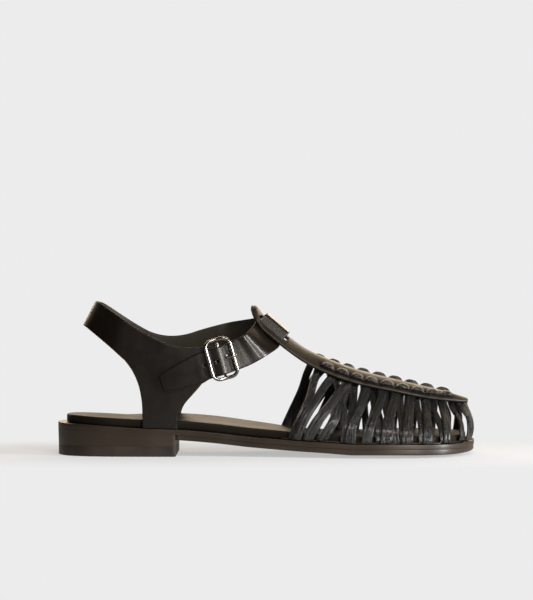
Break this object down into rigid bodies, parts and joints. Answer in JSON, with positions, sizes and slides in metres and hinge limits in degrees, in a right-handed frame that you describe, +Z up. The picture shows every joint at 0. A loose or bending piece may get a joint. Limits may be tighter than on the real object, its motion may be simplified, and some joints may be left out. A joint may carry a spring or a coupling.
{
  "type": "woven leather sandal",
  "caption": "Flat closed-toe sandal for the right foot: woven strip cage on a T-bar, heel sling, threaded ankle strap with a centre-bar buckle, low stacked heel.",
  "frame": {"origin": "on the floor, under the middle of the shoe's length and width", "axes": "+X from heel to toe, +Y to the inner side of the right foot, +Z up"},
  "size_m": [0.262, 0.0882, 0.096],
  "materials": {
    "sole_leather": "satin edge ink on black leather",
    "heel_stack": "satin edge ink on stacked leather",
    "heel_rubber": "matte black rubber",
    "insole_leather": "soft matte black lining leather",
    "strip_leather": "glossy crinkled black leather",
    "upper_leather": "smooth semi-gloss black leather",
    "dark_metal": "polished black nickel"
  },
  "bodies": {
    "root": {"outsole": "sole_leather", "midsole": "sole_leather", "heel_block": "heel_stack", "heel_top_piece": "heel_rubber", "insole": "insole_leather", "woven_cage": "strip_leather", "t_bar": "upper_leather", "quarter_strap": "upper_leather", "buckle_frame": "dark_metal", "buckle_prong": "dark_metal"}
  },
  "joints": []
}
